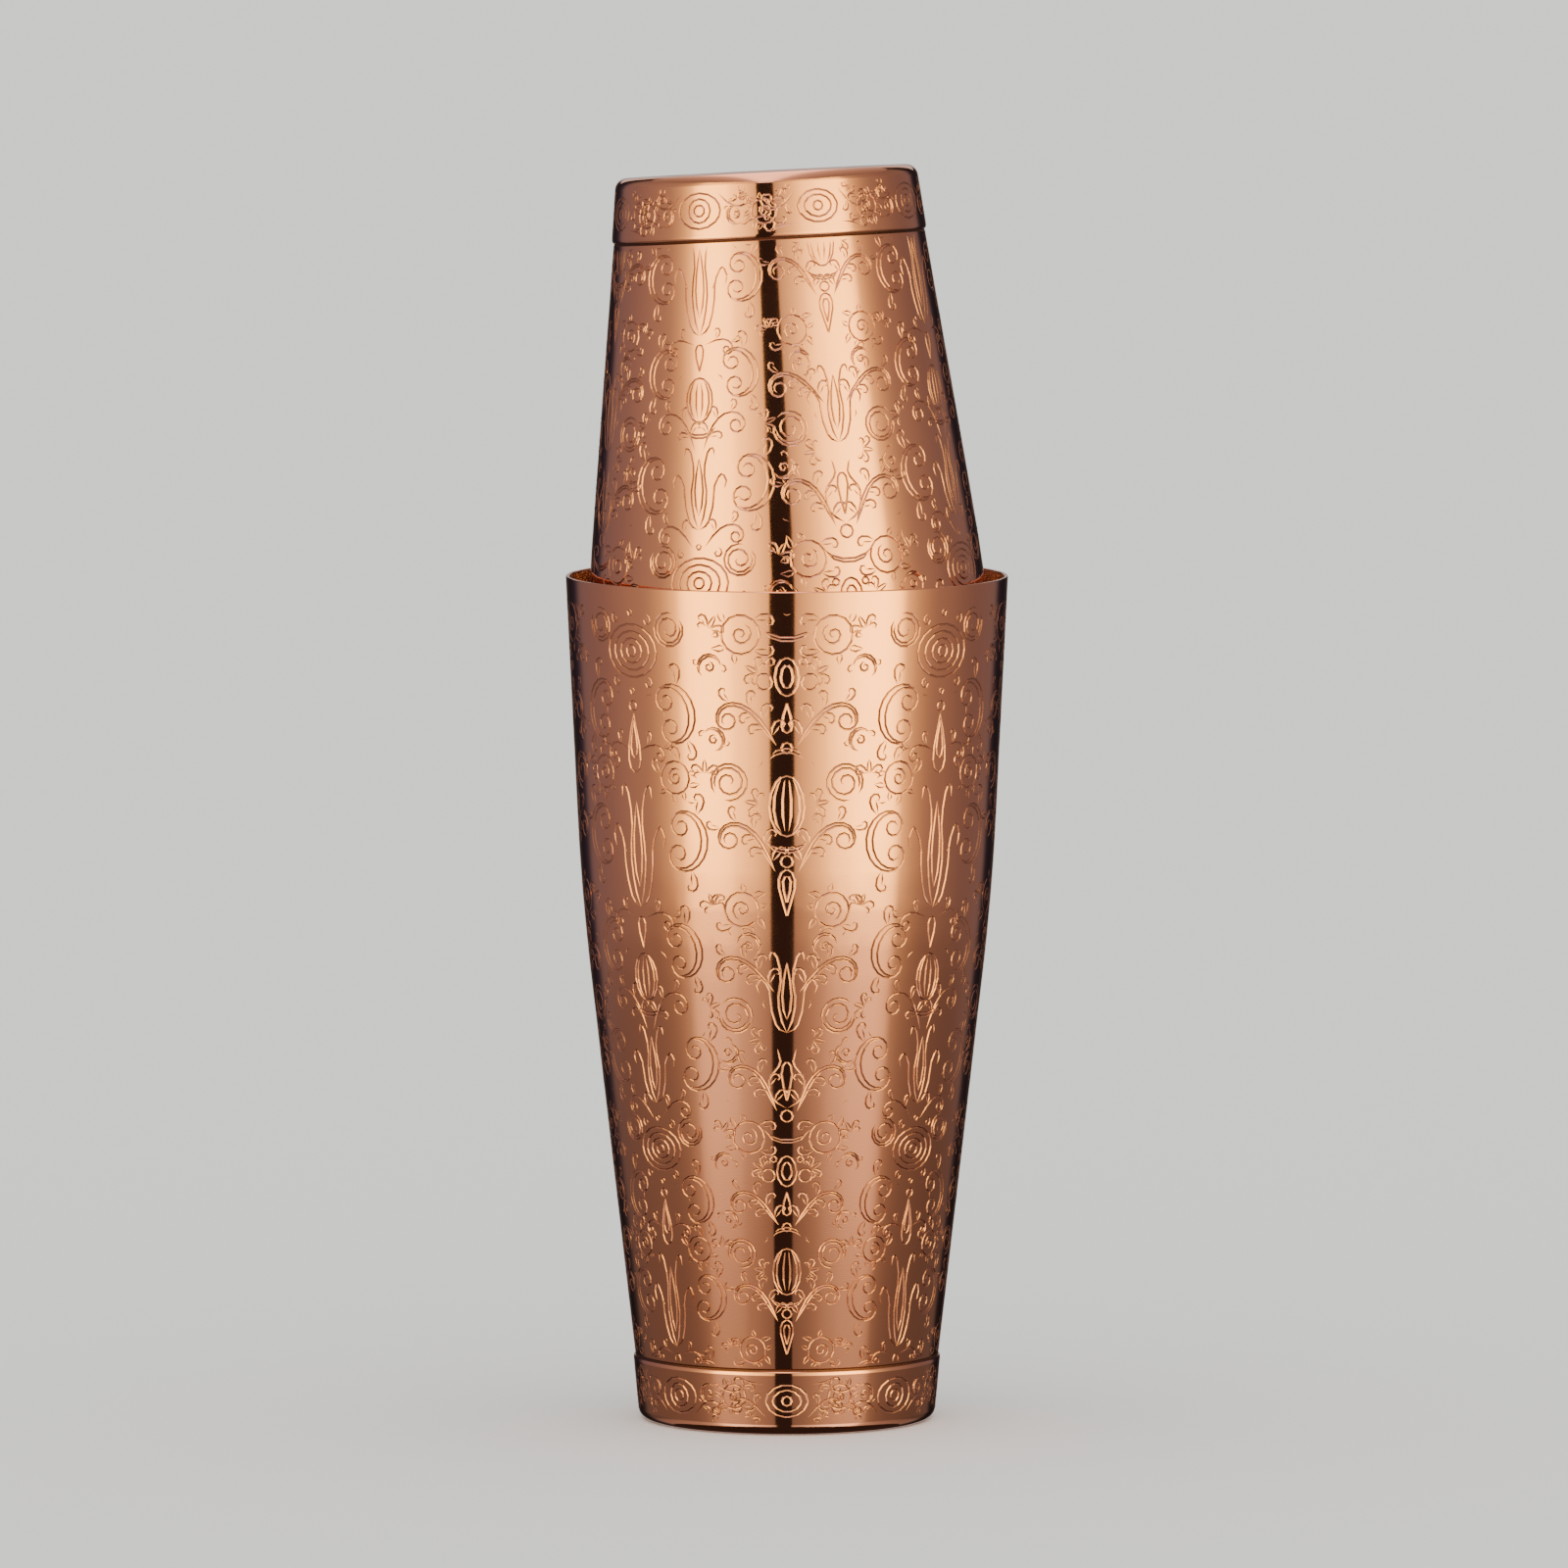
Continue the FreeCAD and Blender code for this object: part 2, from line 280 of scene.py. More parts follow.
def curls(count, reach, sag, size):
    """A row of small curls along a shallow arch, turned away from the middle."""
    motif = []
    for side in np.linspace(-1, 1, count):
        curl = spiral(size, math.copysign(1.3, -side), 90, 0.15)
        motif += placed(curl, reach * side - 1j * sag * side**2)
    return motif


def sprout(size):
    """A pointed leaf between two pairs of commas."""
    motif = leaf(size, 0.32 * size)
    for tilt, share in ((-38, 0.9), (-82, 0.66)):
        motif += both_sides(placed(comma(share * size), 0.1 * size, tilt))
    return motif


def flecks(places):
    """Short curved nicks, each at an angle of its own."""
    motif = []
    for k, place in enumerate(places):
        motif += placed(arc(2.2, 90, 120 + 12 * (k % 3), -2.2j), place, 47 * k)
    return motif


# ---------------------------------------------------------------- the pattern's repeat

PERIOD = 100.0
RIM_BAND = 3.6
SEAM_BAND = 0.5
CAP_BAND = 0.3
LARGE_START = 97.0
SMALL_START = 23.0


def pod_column():
    """The column on one mirror axis, drawn whole about x = 0."""
    lyre = stem(0, 2.9 + 2.2j, 3.7 + 6.5j, 1.4 + 10j, 2.0 + 13j)
    motif = placed(drop(9, 4.6), 1j) + placed(drop(5.2, 2.2), 3.6j) + ring(1.15, 11.6j)
    motif += placed(pod(6.6, 11.5, 4), 22.2j) + placed(bowls(9.4, 2, 1.1), 16.8j)
    motif += placed(bowls(7.0, 2, 1.1), 30.2j, 180) + ring(1.0, 33.2j)
    motif += placed(drop(5.4, 2.8), 41.4j, 180)
    motif += oval(4.4, 7.0, 46.4j) + oval(2.2, 4.2, 46.4j)
    motif += both_sides(ring(1.5, 4.2 + 45.4j) + ring(0.7, 3.0 + 49.2j))
    motif += placed(bowls(11.0, 2, 1.2), 57.0j) + ring(1.3, 59.0j)
    motif += placed(both_sides(lyre), 60.6j) + placed(drop(8.4, 3.2), 62.4j)
    motif += placed(lily(17, 3.0), 77.0j)
    return motif


def plume_column():
    """The column on the other mirror axis, drawn whole about x = 0."""
    motif = placed(lily(24, 3.4), 1.5j)
    motif += placed(drop(11, 4.6), 38.6j, 180) + placed(drop(7, 2.4), 37.4j, 180) + ring(0.9, 40.0j)
    motif += oval(12.2, 9.8, 50.2j) + oval(8.8, 7.2, 50.2j) + oval(5.4, 4.6, 50.2j) + ring(1.1, 50.2j)
    motif += placed(curls(3, 4.0, 1.4, 1.15), 57.4j) + placed(curls(3, 4.0, -1.4, 1.15), 43.0j)
    motif += placed(lily(17, 3.0), 60.5j)
    motif += placed(pod(6.2, 9.6, 4), 87.4j) + placed(bowls(8.6, 2, 1.1), 82.6j)
    motif += placed(drop(6.0, 2.8), 93.6j)
    return motif


def field(width):
    """Scrolls between the two axes. The pod column is at x = 0 and the plume column at x = width."""
    motif = []
    long_spray = vine(29, 10, (-0.08, 0.14, -0.2, 0.26, -0.32, -0.44, -0.56), 3.4, 0.7)
    short_spray = vine(28, 10, (-0.08, 0.14, -0.2, 0.26, -0.32, -0.46), 3.3, 0.7)
    for across, up, shape, turn, flip in (
        # Large scrolls that face the plume column.
        (0.49, 14.5, scroll(45), 6, True),
        (0.56, 40.0, scroll(43), -12, True),
        (0.47, 69.0, scroll(45), 10, True),
        (0.55, 94.0, scroll(42), -8, True),
        # Volutes and medallions between them.
        (0.35, 26.5, volute(3.5), 20, False),
        (0.27, 54.0, medallion(3.6, 5), 0, True),
        (0.34, 80.5, volute(3.6), 130, True),
        (0.28, 2.0, medallion(3.4, 5), 170, True),
        (0.72, 54.5, volute(3.1), 200, False),
        (0.70, 27.0, medallion(3.1, 5), 60, False),
        (0.46, 48.0, crescent(2.3), 60, False),
        (0.44, 34.5, crescent(2.2), -30, True),
        (0.24, 95.0, crescent(2.4), 120, False),
        (0.40, 72.5, crescent(2.3), 40, True),
        # Sprays that grow from the pod column.
        (0.07, 9.5, long_spray, -20, True),
        (0.06, 33.5, short_spray, -28, True),
        (0.07, 60.0, long_spray, -16, True),
        (0.08, 85.5, short_spray, -34, True),
        # Sprays that grow from the plume column.
        (0.97, 31.5, vine(14, 15, (-0.2, -0.44), 2.6), 62, False),
        (0.96, 57.0, vine(19, 15, (-0.2, -0.4), 2.8), 36, False),
        (0.97, 76.5, vine(25, 15, (0.14, -0.16, -0.3, -0.44), 3.0), 18, False),
        (0.96, 99.5, vine(15, 15, (-0.2, -0.44), 2.6), 66, False),
        # Small leaves in the gaps.
        (0.17, 47.0, sprout(2.8), -60, False),
        (0.46, 55.0, sprout(2.8), 30, False),
        (0.17, 75.5, sprout(2.8), -100, False),
        (0.52, 82.0, sprout(2.8), 70, False),
        (0.17, 22.5, sprout(2.8), -80, False),
        (0.50, 28.0, sprout(2.8), 0, False),
        (0.46, 2.5, sprout(2.8), -20, False),
    ):
        motif += placed(shape, across * width + 1j * up, turn, flip=flip)
    places = (
        0.40 + 9.0j, 0.37 + 19.0j, 0.14 + 31.0j, 0.12 + 57.0j, 0.38 + 61.5j, 0.14 + 82.0j,
        0.42 + 88.5j, 0.90 + 42.0j, 0.86 + 93.0j, 0.62 + 59.0j, 0.55 + 77.0j, 0.56 + 22.5j,
        0.60 + 4.0j, 0.76 + 38.0j, 0.76 + 66.0j, 0.42 + 64.5j, 0.38 + 98.0j, 0.88 + 14.0j,
    )
    return motif + flecks([width * place.real + 1j * place.imag for place in places])


def trimmed(strokes, low, high):
    """The parts of the strokes that lie between two levels."""
    parts = []
    for points, closed in strokes:
        inside = (points.imag > low) & (points.imag < high)
        if inside.all():
            parts.append((points, closed))
            continue
        if closed:
            first = int(np.argmin(inside))
            points, inside = np.roll(points, -first), np.roll(inside, -first)
        cuts = np.flatnonzero(np.diff(inside)) + 1
        for run, kept in zip(np.split(points, cuts), np.split(inside, cuts)):
            if kept[0] and len(run) > 3:
                parts.append((run, False))
    return parts


def body_pattern(wall, start, upside_down=False):
    """The repeat, stacked up the wall between two plain bands.

    start is how far up the first repeat the wall begins.
    """
    unit = pod_column() + placed(plume_column(), wall.width) + field(wall.width)
    strokes = []
    for level in np.arange(-start, wall.tall, PERIOD):
        for points, closed in unit:
            moved = points + 1j * level
            strokes.append((np.conj(moved) + 1j * wall.tall if upside_down else moved, closed))
    return trimmed(strokes, SEAM_BAND, wall.tall - RIM_BAND)


def cap_pattern(wall):
    """A low band of ovals, medallions and short vines."""
    middle = 0.5j * wall.tall
    motif = oval(8.6, 6.8, middle) + oval(5.8, 4.6, middle) + ring(1.0, middle)
    motif += placed(oval(9.4, 7.4) + ring(2.5) + ring(1.2), wall.width + middle)
    for across, up, shape, turn, flip in (
        (0.18, -3.6, vine(17, 10, (-0.2, 0.34, -0.42), 2.4), -38, True),
        (0.19, 3.4, vine(13, -20, (0.3,), 2.0), -84, False),
        (0.45, 0.6, medallion(2.6, 7), 0, True),
        (0.58, -3.4, sprout(2.2), -60, False),
        (0.84, -3.8, vine(15, 10, (0.2, -0.34), 2.2), 42, False),
        (0.63, 3.2, vine(13, 10, (-0.3,), 2.0, curl=420), 120, True),
        (0.68, 1.0, crescent(2.0), 10, False),
        (0.30, -4.0, sprout(1.8), 30, False),
    ):
        motif += placed(shape, across * wall.width + middle + 1j * up, turn, flip=flip)
    return trimmed(motif, CAP_BAND, wall.tall - CAP_BAND)


# ---------------------------------------------------------------- tins, from the CAD frame

def node_points(node):
    """The node's vertices in millimetres."""
    mesh = frame["nodes"][node].data
    points = np.empty(len(mesh.vertices) * 3, np.float32)
    mesh.vertices.foreach_get("co", points)
    return points.reshape(-1, 3).astype(float) / MM


def mount(name):
    return next(m for m in frame["record"]["mounts"] if m["name"] == name)


class Tin:
    """A tin's own frame: standing face at height 0 and mouth up. Angle 0 looks the way of heading."""

    def __init__(self, name, heading):
        self.name = name
        way = -Vector(mount(f"{name}_base")["axis"]).normalized()
        front = Vector((math.sin(heading), -math.cos(heading), 0))
        front = (front - way * front.dot(way)).normalized()
        self.axes = np.array([front, way.cross(front), way])
        cap = node_points(f"{name}_tin_base_cap") @ self.axes.T
        middle = (cap.min(axis=0) + cap.max(axis=0)) / 2
        self.origin = np.array([middle[0], middle[1], cap[:, 2].min()]) @ self.axes

    def world(self, points):
        return (points @ self.axes + self.origin) * MM

    def outline(self, node):
        """Heights and radii of the node's outer wall, from its lowest point to its highest.

        Both tins widen ever more slowly towards the mouth, so the outer wall is the upper hull of the
        node's points in the plane of height and radius.
        """
        points = (node_points(node) - self.origin) @ self.axes.T
        radii = np.hypot(points[:, 0], points[:, 1])
        hull = []
        for k in np.lexsort((radii, points[:, 2])):
            point = (points[k, 2], radii[k])
            while len(hull) > 1 and lies_inside(hull[-1], hull[-2], point):
                hull.pop()
            hull.append(point)
        return np.array(hull).T


def lies_inside(middle, first, last):
    run = (middle[0] - first[0]) * (last[1] - first[1])
    return run - (middle[1] - first[1]) * (last[0] - first[0]) >= 0


# ---------------------------------------------------------------- engraved wall

class Wall:
    """The stretch of an outer wall between two heights, flattened so that round motifs stay round.

    Across the flat cell, x runs over the sector's angle. Up the cell, y grows so that the scale is the
    same both ways at every height, whatever the radius there.
    """

    def __init__(self, outline, low, high):
        self.heights = np.linspace(low, high, WALL_LEVELS)
        self.radii = np.interp(self.heights, *outline)
        self.scale = self.radii.mean()
        self.width = self.scale * TAU / SECTORS
        grain = self.scale / self.radii
        steps = np.diff(self.heights) * (grain[1:] + grain[:-1]) / 2
        self.ordinates = np.concatenate([[0], np.cumsum(steps)])
        self.tall = self.ordinates[-1]
        self.lean = np.arctan(np.gradient(self.radii, self.heights))

    def wrap(self, cell, angles, depth):
        """Places and outward normals, in the tin's frame, of points of the cell."""
        heights = np.interp(cell[:, 1], self.ordinates, self.heights)
        radii = np.interp(heights, self.heights, self.radii)
        lean = np.interp(heights, self.heights, self.lean)
        radial = np.stack([np.cos(angles), np.sin(angles), np.zeros_like(angles)], axis=1)
        normals = radial * np.cos(lean)[:, None]
        normals[:, 2] = -np.sin(lean)
        places = radial * radii[:, None] - normals * depth[:, None]
        places[:, 2] += heights
        return places, normals


def walk(points, closed):
    """The stroke resampled: finer where it turns, so that few points still follow its curves."""
    loop = np.append(points, points[0]) if closed else points
    lengths = np.abs(np.diff(loop))
    loop = loop[np.concatenate([[True], lengths > TINY])]
    ways = np.angle(np.diff(loop))
    turns = np.abs((np.diff(ways) + math.pi) % TAU - math.pi)
    kept = [0]
    run = turn = 0.0
    for k in range(1, len(loop) - 1):
        run += abs(loop[k] - loop[k - 1])
        turn += turns[k - 1]
        bent = turn > LINE_TURN or run * turn / 8 > LINE_SAG
        if run > LINE_STEP or (bent and run > LINE_SHORTEST):
            kept.append(k)
            run = turn = 0.0
    if closed:
        return loop[kept]
    return loop[kept + [len(loop) - 1]]


def ribbon(points, closed):
    """Half widths and both edges of a stroke. Open strokes taper to a point at their ends."""
    if closed:
        ways = np.roll(points, -1) - np.roll(points, 1)
        half = np.full(len(points), GROOVE_WIDTH / 2)
    else:
        ways = np.gradient(points)
        run = np.concatenate([[0], np.cumsum(np.abs(np.diff(points)))])
        to_end = np.minimum(run, run[-1] - run)
        half = GROOVE_WIDTH / 2 * np.minimum(1, (to_end / GROOVE_TAPER) ** 0.6)
    across = 1j * ways / np.abs(ways) * half
    return half, points + across, points - across


class Cell:
    """One half cell of the pattern, triangulated: points, triangles, groove depth, and groove faces."""

    def __init__(self, wall, strokes):
        self.wall = wall
        self.points = []
        self.edges = []
        centres = [self.add_stroke(*stroke) for stroke in strokes]
        self.tree, self.halves = sample_centres(centres)
        self.add_frame()
        self.add_grid()
        self.triangulate()

    def add_chain(self, chain, closed):
        first = len(self.points)
        self.points += [Vector((p.real, p.imag)) for p in chain]
        last = len(self.points) - 1
        self.edges += [(k, k + 1) for k in range(first, last)]
        if closed:
            self.edges.append((last, first))

    def add_stroke(self, points, closed):
        points = walk(points, closed)
        half, left, right = ribbon(points, closed)
        for chain in (left, points, right):
            self.add_chain(chain, closed)
        if closed:
            points = np.append(points, points[0])
            half = np.append(half, half[0])
        return points, half

    def add_frame(self):
        """The border. Its top and bottom points are evenly spaced, to meet the turned rings there."""
        wide, tall = self.wall.width, self.wall.tall
        across = np.linspace(0, wide, SECTOR_COLUMNS + 1)
        up = np.linspace(0, tall, round(tall / GRID_STEP) + 1)
        self.add_chain(
            np.concatenate([across, wide + 1j * up[1:-1], across[::-1] + 1j * tall, 1j * up[-2:0:-1]]),
            closed=True,
        )

    def add_grid(self):
        """Loose points that keep the plain areas round."""
        wide, tall = self.wall.width, self.wall.tall
        rows = round(tall / GRID_STEP)
        for row in range(1, rows):
            for column in range(1, SECTOR_COLUMNS):
                x = wide * column / SECTOR_COLUMNS
                y = tall * row / rows
                _, k, distance = self.tree.find((x, y, 0))
                if distance > self.halves[k] + GRID_CLEARANCE:
                    self.points.append(Vector((x, y)))

    def depth_at(self, x, y):
        nearest = self.tree.find_n((x, y, 0), 3)
        reach = max(self.halves[k] - distance for _, k, distance in nearest)
        return max(0.0, reach) * GROOVE_DEPTH / (GROOVE_WIDTH / 2)

    def triangulate(self):
        wide, tall = self.wall.width, self.wall.tall
        places, _, faces, *_ = delaunay_2d_cdt(self.points, self.edges, [], 0, 1e-5)
        places = np.array(places)
        faces = np.array(faces)
        corners = places[faces]
        middles = corners.mean(axis=1)
        sides = corners[:, 1:] - corners[:, :1]
        area = np.abs(sides[:, 0, 0] * sides[:, 1, 1] - sides[:, 0, 1] * sides[:, 1, 0])
        inside = (middles > 0).all(axis=1) & (middles[:, 0] < wide) & (middles[:, 1] < tall)
        kept = inside & (area > SLIVER)
        faces = faces[kept]
        middles = middles[kept]
        used = np.unique(faces)
        number = np.zeros(len(places), int)
        number[used] = np.arange(len(used))
        self.cell = places[used]
        self.faces = number[faces]
        depth = np.array([self.depth_at(x, y) for x, y in self.cell])
        self.depth = np.where(depth > LEAST_DEPTH, depth, 0.0)
        middle_depth = np.array([self.depth_at(x, y) for x, y in middles])
        self.in_groove = middle_depth > ENGRAVED_DEPTH


def sample_centres(centres):
    """A search tree of close points along all centre lines, and the groove's half width at each."""
    places, halves = [], []
    for points, half in centres:
        run = np.concatenate([[0], np.cumsum(np.abs(np.diff(points)))])
        at = np.linspace(0, run[-1], int(run[-1] / SAMPLE_STEP) + 2)
        places.append(np.interp(at, run, points.real) + 1j * np.interp(at, run, points.imag))
        halves.append(np.interp(at, run, half))
    places = np.concatenate(places)
    tree = KDTree(len(places))
    for k, place in enumerate(places):
        tree.insert((place.real, place.imag, 0), k)
    tree.balance()
    return tree, np.concatenate(halves)


# ---------------------------------------------------------------- meshes

class Shell:
    """Collects the faces of one closed shell, with the normal and the flat place of every corner."""

    def __init__(self):
        self.places = np.zeros((0, 3))
        self.faces = []
        self.normals = []
        self.flat = []
        self.slots = []

    def add_places(self, places):
        first = len(self.places)
        self.places = np.concatenate([self.places, places])
        return np.arange(first, first + len(places))

    def add_faces(self, faces, normals, flat, slot):
        """Faces are corner numbers (n, 3 or 4). normals and flat hold a row for every corner of each."""
        self.faces.append(faces)
        self.normals.append(normals)
        self.flat.append(flat)
        self.slots.append(np.broadcast_to(slot, len(faces)))

    def last_ring(self, columns):
        return np.arange(len(self.places) - columns, len(self.places))

    def make(self, name, tin, materials):
        mesh = bpy.data.meshes.new(name)
        faces = [face for block in self.faces for face in block.tolist()]
        mesh.from_pydata(tin.world(self.places).tolist(), [], faces)
        mesh.polygons.foreach_set("material_index", np.concatenate(self.slots).astype(np.int32))
        normals = np.concatenate([block.reshape(-1, 3) for block in self.normals]) @ tin.axes
        flat = np.concatenate([block.reshape(-1, 2) for block in self.flat])
        mesh.uv_layers.new(name="OFBake").data.foreach_set("uv", flat.ravel())
        for material in materials:
            mesh.materials.append(material)
        mesh.polygons.foreach_set("use_smooth", [True] * len(faces))
        mesh.normals_split_custom_set(normals.tolist())
        piece = bpy.data.objects.new(name, mesh)
        bpy.context.scene.collection.objects.link(piece)
        return piece


def add_engraved_wall(shell, cell, v_range):
    """The half cell and its mirror images, all the way round. Returns the bottom and top rings."""
    wall = cell.wall
    x, y = cell.cell.T
    count = len(x)
    on_left = x < TINY
    on_right = x > wall.width - TINY
    numbers = []
    turns = []
    for sector in range(SECTORS):
        mirrored = sector % 2 == 1
        share = 1 - x / wall.width if mirrored else x / wall.width
        angles = (sector + share) * TAU / SECTORS
        places, normals = wall.wrap(cell.cell, angles, cell.depth)
        own = np.full(count, -1)
        if sector > 0:
            shared = on_right if mirrored else on_left
            own[shared] = numbers[-1][shared]
        if sector == SECTORS - 1:
            own[on_left] = numbers[0][on_left]
        fresh = own < 0
        own[fresh] = shell.add_places(places[fresh])
        numbers.append(own)
        faces = cell.faces[:, ::-1] if mirrored else cell.faces
        corner_normals = normals[faces]
        flats = face_normals(places[faces])
        corner_normals[cell.in_groove] = flats[cell.in_groove][:, None, :]
        flat = np.stack([angles / TAU, v_range[0] + (v_range[1] - v_range[0]) * y / wall.tall], axis=1)
        slots = np.where(cell.in_groove, ENGRAVED, POLISHED)
        shell.add_faces(own[faces], corner_normals, flat[faces], slots)
        turns.append(angles)
    rings = []
    for level in (y < TINY, y > wall.tall - TINY):
        ring = np.concatenate([own[level] for own in numbers])
        angles = np.concatenate([angles[level] for angles in turns])
        ring, first = np.unique(ring, return_index=True)
        order = np.argsort(angles[first] % (TAU - 1e-9))
        rings.append(ring[order])
    return rings


def face_normals(corners):
    normals = np.cross(corners[:, 1] - corners[:, 0], corners[:, 2] - corners[:, 0])
    return normals / np.maximum(np.linalg.norm(normals, axis=1), 1e-12)[:, None]


def add_turned(shell, profile, columns, slot, v_range, first_ring=None, last_ring=None):
    """Revolves a profile of (radius, height). Its material lies to the left of its way of travel.

    The first or last point can be a ring that is there already, and a point of radius 0 closes it.
    v_range is its band of the bake layer.
    """
    profile = np.array(profile)
    angles = np.arange(columns) * TAU / columns
    rings = []
    for k, (radius, height) in enumerate(profile):
        if k == 0 and first_ring is not None:
            rings.append(first_ring)
        elif k == len(profile) - 1 and last_ring is not None:
            rings.append(last_ring)
        elif radius < TINY:
            rings.append(np.repeat(shell.add_places(np.array([[0, 0, height]])), columns))
        else:
            ring = np.stack([radius * np.cos(angles), radius * np.sin(angles), np.full(columns, height)])
            rings.append(shell.add_places(ring.T))
    ways = np.diff(profile, axis=0)
    lengths = np.linalg.norm(ways, axis=1)
    outward = np.stack([ways[:, 1], -ways[:, 0]], axis=1) / lengths[:, None]
    reach = np.concatenate([[0], np.cumsum(lengths)]) / lengths.sum()
    turn = np.roll(np.arange(columns), -1)
    for k in range(len(ways)):
        start_normal = softened(outward, k, k - 1)
        end_normal = softened(outward, k, k + 1)
        heights = v_range[0] + (v_range[1] - v_range[0]) * reach[[k, k, k + 1, k + 1]]
        corners = [rings[k], rings[k][turn], rings[k + 1][turn], rings[k + 1]]
        next_angles = angles + TAU / columns
        normals = [
            spun(start_normal, angles), spun(start_normal, next_angles),
            spun(end_normal, next_angles), spun(end_normal, angles),
        ]
        flat = [
            np.stack([angle / TAU, np.full(columns, height)], axis=1)
            for angle, height in zip((angles, next_angles, next_angles, angles), heights)
        ]
        kept = [0, 1, 2, 3]
        if profile[k][0] < TINY:
            kept = [0, 2, 3]
        if profile[k + 1][0] < TINY:
            kept = [0, 1, 2]
        shell.add_faces(
            np.stack([corners[j] for j in kept], axis=1),
            np.stack([normals[j] for j in kept], axis=1),
            np.stack([flat[j] for j in kept], axis=1),
            slot,
        )


def softened(outward, k, other):
    """The normal where two stretches of a profile meet: shared if the bend between them is slight."""
    if other < 0 or other >= len(outward) or outward[k] @ outward[other] < math.cos(SMOOTH_BEND):
        return outward[k]
    mean = outward[k] + outward[other]
    return mean / np.linalg.norm(mean)


def spun(normal, angles):
    """The normal (outward, upward) of a profile, turned to each angle."""
    upward = np.full(len(angles), normal[1])
    return np.stack([normal[0] * np.cos(angles), normal[0] * np.sin(angles), upward], axis=1)


def corner(radius, centre, start, end, stretch=1.0):
    """An arc of a profile, as (radius, height) points. stretch makes it taller."""
    return [
        (centre[0] + radius * math.cos(way), centre[1] + stretch * radius * math.sin(way))
        for way in np.radians(np.linspace(start, end, EDGE_STEPS + 1))
    ]


# ---------------------------------------------------------------- pieces

def make_body(tin, strokes_for, materials):
    """The drawn body: engraved outer wall, rolled-over cut edge, plain inside, and floor."""
    node = f"{tin.name}_tin_body"
    outline = tin.outline(node)
    floor, mouth = outline[0].min(), outline[0].max()
    seam = tin.outline(f"{tin.name}_tin_base_cap")[0].max()
    low = seam + 2 * SEAM_HALF_WIDTH
    high = mouth - MOUTH_ROUND
    wall = Wall(outline, low, high)
    cell = Cell(wall, strokes_for(wall))
    shell = Shell()
    bottom_ring, top_ring = add_engraved_wall(shell, cell, BODY_BANDS["wall"])
    columns_round = len(bottom_ring)
    below = [(radius, height) for height, radius in outline.T if height < seam]
    below.append((np.interp(seam, *outline), seam))
    add_turned(shell, below, columns_round, POLISHED, BODY_BANDS["below"])
    seam_ring = shell.last_ring(columns_round)
    groove = [
        below[-1],
        (np.interp(seam + SEAM_HALF_WIDTH, *outline) - SEAM_DEPTH, seam + SEAM_HALF_WIDTH),
        (np.interp(low, *outline), low),
    ]
    # The seam groove gets near-black copper: painted shade for the crevice between the cap's lip and the
    # body.
    add_turned(shell, groove, columns_round, SEAM_SHADE, BODY_BANDS["seam"], seam_ring, bottom_ring)
    outer = np.interp(high, *outline)
    inner = outer - WALL
    inner_floor = floor + WALL
    inner_corner = FLOOR_CORNER - WALL
    inner_low = inner_floor + inner_corner
    inside = [
        (np.interp(height, *outline) - WALL, height)
        for height in np.linspace(high, inner_low, INSIDE_STEPS + 1)[1:]
    ]
    corner_centre = (inside[-1][0] - inner_corner, inner_low)
    profile = corner(MOUTH_ROUND, (outer - MOUTH_ROUND, high), 0, 90)
    profile += corner(MOUTH_ROUND, (inner + MOUTH_ROUND, high), 90, 180)
    add_turned(shell, profile, columns_round, POLISHED, BODY_BANDS["edge"], top_ring)
    edge_ring = shell.last_ring(columns_round)
    profile = profile[-1:] + inside
    profile += corner(inner_corner, corner_centre, 0, -90)[1:] + [(0, inner_floor)]
    add_turned(shell, profile, columns_round, INSIDE, BODY_BANDS["inside"], edge_ring)
    finish_piece(shell, node, tin, materials)


def make_cap(tin, strokes_for, materials):
    """The base cap: engraved side, rounded corner, dished plate, drawn-in edge, and hidden inside."""
    node = f"{tin.name}_tin_base_cap"
    outline = tin.outline(node)
    edge = outline[0].max()
    flat_end = outline[1][outline[0] < 0.01].max()
    side_low, side_high = np.interp((CAP_CORNER + 1, edge - 1), *outline)
    lean = math.atan((side_high - side_low) / (edge - CAP_CORNER - 2))
    low = CAP_CORNER * (1 - math.sin(lean))
    high = edge - LIP_HEIGHT
    wall = Wall(outline, low, high)
    cell = Cell(wall, strokes_for(wall))
    shell = Shell()
    bottom_ring, top_ring = add_engraved_wall(shell, cell, CAP_BANDS["wall"])
    plate = [(0, DISH_DEPTH), (DISH_RADIUS, DISH_DEPTH), (DISH_RADIUS + DISH_RISE, 0)]
    below = plate + corner(CAP_CORNER, (flat_end, CAP_CORNER), -90, -math.degrees(lean))
    columns_round = len(bottom_ring)
    add_turned(shell, below, columns_round, POLISHED, CAP_BANDS["below"], last_ring=bottom_ring)
    outer = np.interp(high, *outline)
    profile = corner(LIP_DEPTH, (outer - LIP_DEPTH, high), 0, 90, LIP_HEIGHT / LIP_DEPTH)
    profile += [
        (np.interp(edge, *outline) - CAP_WALL, edge),
        (np.interp(CAP_CORNER, *outline) - CAP_WALL, CAP_CORNER),
        (flat_end, CAP_WALL),
        (DISH_RADIUS + DISH_RISE, CAP_WALL),
        (DISH_RADIUS, DISH_DEPTH + CAP_WALL),
        (0, DISH_DEPTH + CAP_WALL),
    ]
    lip, inside = profile[: EDGE_STEPS + 2], profile[EDGE_STEPS + 1 :]
    add_turned(shell, lip, columns_round, POLISHED, CAP_BANDS["lip"], top_ring)
    lip_ring = shell.last_ring(columns_round)
    add_turned(shell, inside, columns_round, INSIDE, CAP_BANDS["inside"], lip_ring)
    finish_piece(shell, node, tin, materials)


def finish_piece(shell, node, tin, materials):
    """Makes the piece that stands in for a CAD node and moves with its tin."""
    piece = shell.make(node + "_engraved", tin, materials)
    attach(piece, f"{tin.name}_tin")
    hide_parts(node)


